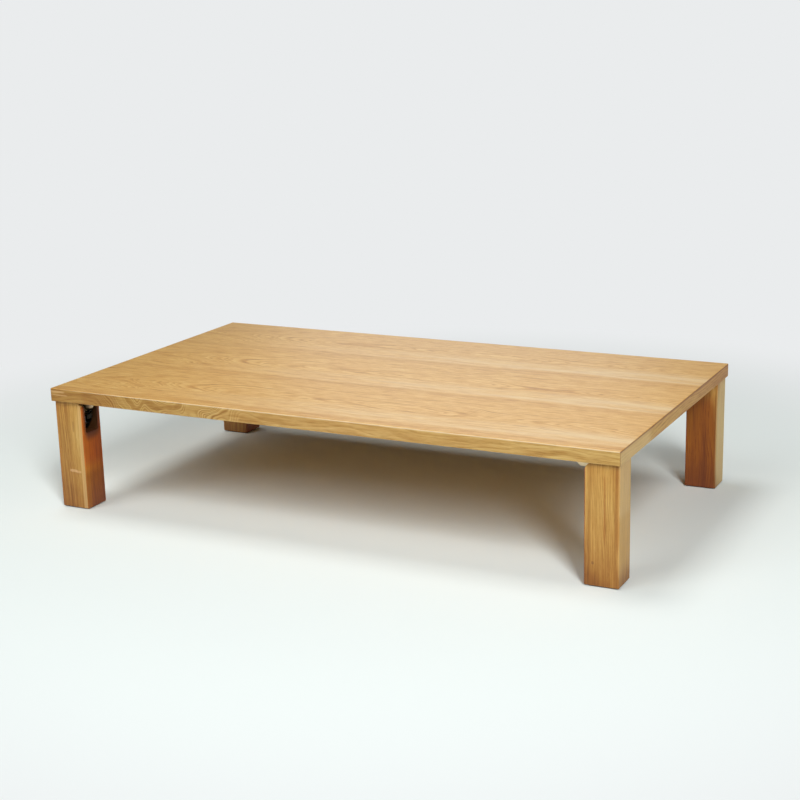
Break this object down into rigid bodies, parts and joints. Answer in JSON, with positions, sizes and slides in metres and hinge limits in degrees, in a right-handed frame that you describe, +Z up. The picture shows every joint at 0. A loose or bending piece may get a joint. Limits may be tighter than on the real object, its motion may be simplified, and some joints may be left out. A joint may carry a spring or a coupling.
{
  "type": "folding low table",
  "caption": "Rectangular low wooden table on square corner legs that fold flat under the top on locking steel hinges.",
  "frame": {"origin": "on the floor under the middle of the top", "axes": "+X along the table, +Y across it from front to back, +Z up"},
  "size_m": [1.5, 0.85, 0.315],
  "materials": {
    "veneer": "satin lacquered ash veneer, grain along X",
    "edging": "satin lacquered solid ash",
    "leg_wood": "satin lacquered solid ash, grain along Z",
    "board": "sanded plywood",
    "softwood": "sawn",
    "felt": "pressed felt",
    "plated_steel": "pressed and zinc plated",
    "pin_steel": "turned",
    "spring_steel": "drawn wire",
    "screw": "zinc plated"
  },
  "bodies": {
    "root": {"back_board": "board", "core_batten_1": "softwood", "core_batten_2": "softwood", "core_batten_3": "softwood", "core_batten_4": "softwood", "core_batten_5": "softwood", "core_rail_back": "softwood", "core_rail_front": "softwood", "core_rail_left": "softwood", "core_rail_right": "softwood", "edging_back": "edging", "edging_front": "edging", "edging_left": "edging", "edging_right": "edging", "face_board": "board", "table_bracket_back_left": "plated_steel", "table_bracket_back_right": "plated_steel", "table_bracket_front_left": "plated_steel", "table_bracket_front_right": "plated_steel", "table_bracket_screws_back_left": "screw", "table_bracket_screws_back_right": "screw", "table_bracket_screws_front_left": "screw", "table_bracket_screws_front_right": "screw", "top_veneer": "veneer"},
    "leg_front_left": {"leg_front_left": "leg_wood", "foot_pad_front_left": "felt", "leg_bracket_front_left": "plated_steel", "leg_bracket_screws_front_left": "screw", "hinge_pin_front_left": "pin_steel", "lock_spring_front_left": "spring_steel"},
    "lock_front_left": {"lock_pin_front_left": "pin_steel", "release_lever_front_left": "plated_steel"},
    "leg_front_right": {"leg_front_right": "leg_wood", "foot_pad_front_right": "felt", "leg_bracket_front_right": "plated_steel", "leg_bracket_screws_front_right": "screw", "hinge_pin_front_right": "pin_steel", "lock_spring_front_right": "spring_steel"},
    "lock_front_right": {"lock_pin_front_right": "pin_steel", "release_lever_front_right": "plated_steel"},
    "leg_back_left": {"leg_back_left": "leg_wood", "foot_pad_back_left": "felt", "leg_bracket_back_left": "plated_steel", "leg_bracket_screws_back_left": "screw", "hinge_pin_back_left": "pin_steel", "lock_spring_back_left": "spring_steel"},
    "lock_back_left": {"lock_pin_back_left": "pin_steel", "release_lever_back_left": "plated_steel"},
    "leg_back_right": {"leg_back_right": "leg_wood", "foot_pad_back_right": "felt", "leg_bracket_back_right": "plated_steel", "leg_bracket_screws_back_right": "screw", "hinge_pin_back_right": "pin_steel", "lock_spring_back_right": "spring_steel"},
    "lock_back_right": {"lock_pin_back_right": "pin_steel", "release_lever_back_right": "plated_steel"}
  },
  "joints": [
    {"name": "leg_fold_front_left", "type": "hinge", "parent": "root", "child": "leg_front_left", "pos_m": [-0.686, -0.378, 0.2615], "axis": [0, -1, 0], "range_deg": [0, 90]},
    {"name": "lock_slide_front_left", "type": "slide", "parent": "leg_front_left", "child": "lock_front_left", "axis": [0, 0, 1], "range_m": [0, 0.0045], "stiffness_N_per_m": 350, "springref_m": 0.012, "deforming": ["lock_spring_front_left"]},
    {"name": "leg_fold_front_right", "type": "hinge", "parent": "root", "child": "leg_front_right", "pos_m": [0.686, -0.378, 0.2615], "axis": [0, 1, 0], "range_deg": [0, 90]},
    {"name": "lock_slide_front_right", "type": "slide", "parent": "leg_front_right", "child": "lock_front_right", "axis": [0, 0, 1], "range_m": [0, 0.0045], "stiffness_N_per_m": 350, "springref_m": 0.012, "deforming": ["lock_spring_front_right"]},
    {"name": "leg_fold_back_left", "type": "hinge", "parent": "root", "child": "leg_back_left", "pos_m": [-0.686, 0.378, 0.2615], "axis": [0, -1, 0], "range_deg": [0, 90]},
    {"name": "lock_slide_back_left", "type": "slide", "parent": "leg_back_left", "child": "lock_back_left", "axis": [0, 0, 1], "range_m": [0, 0.0045], "stiffness_N_per_m": 350, "springref_m": 0.012, "deforming": ["lock_spring_back_left"]},
    {"name": "leg_fold_back_right", "type": "hinge", "parent": "root", "child": "leg_back_right", "pos_m": [0.686, 0.378, 0.2615], "axis": [0, 1, 0], "range_deg": [0, 90]},
    {"name": "lock_slide_back_right", "type": "slide", "parent": "leg_back_right", "child": "lock_back_right", "axis": [0, 0, 1], "range_m": [0, 0.0045], "stiffness_N_per_m": 350, "springref_m": 0.012, "deforming": ["lock_spring_back_right"]}
  ]
}
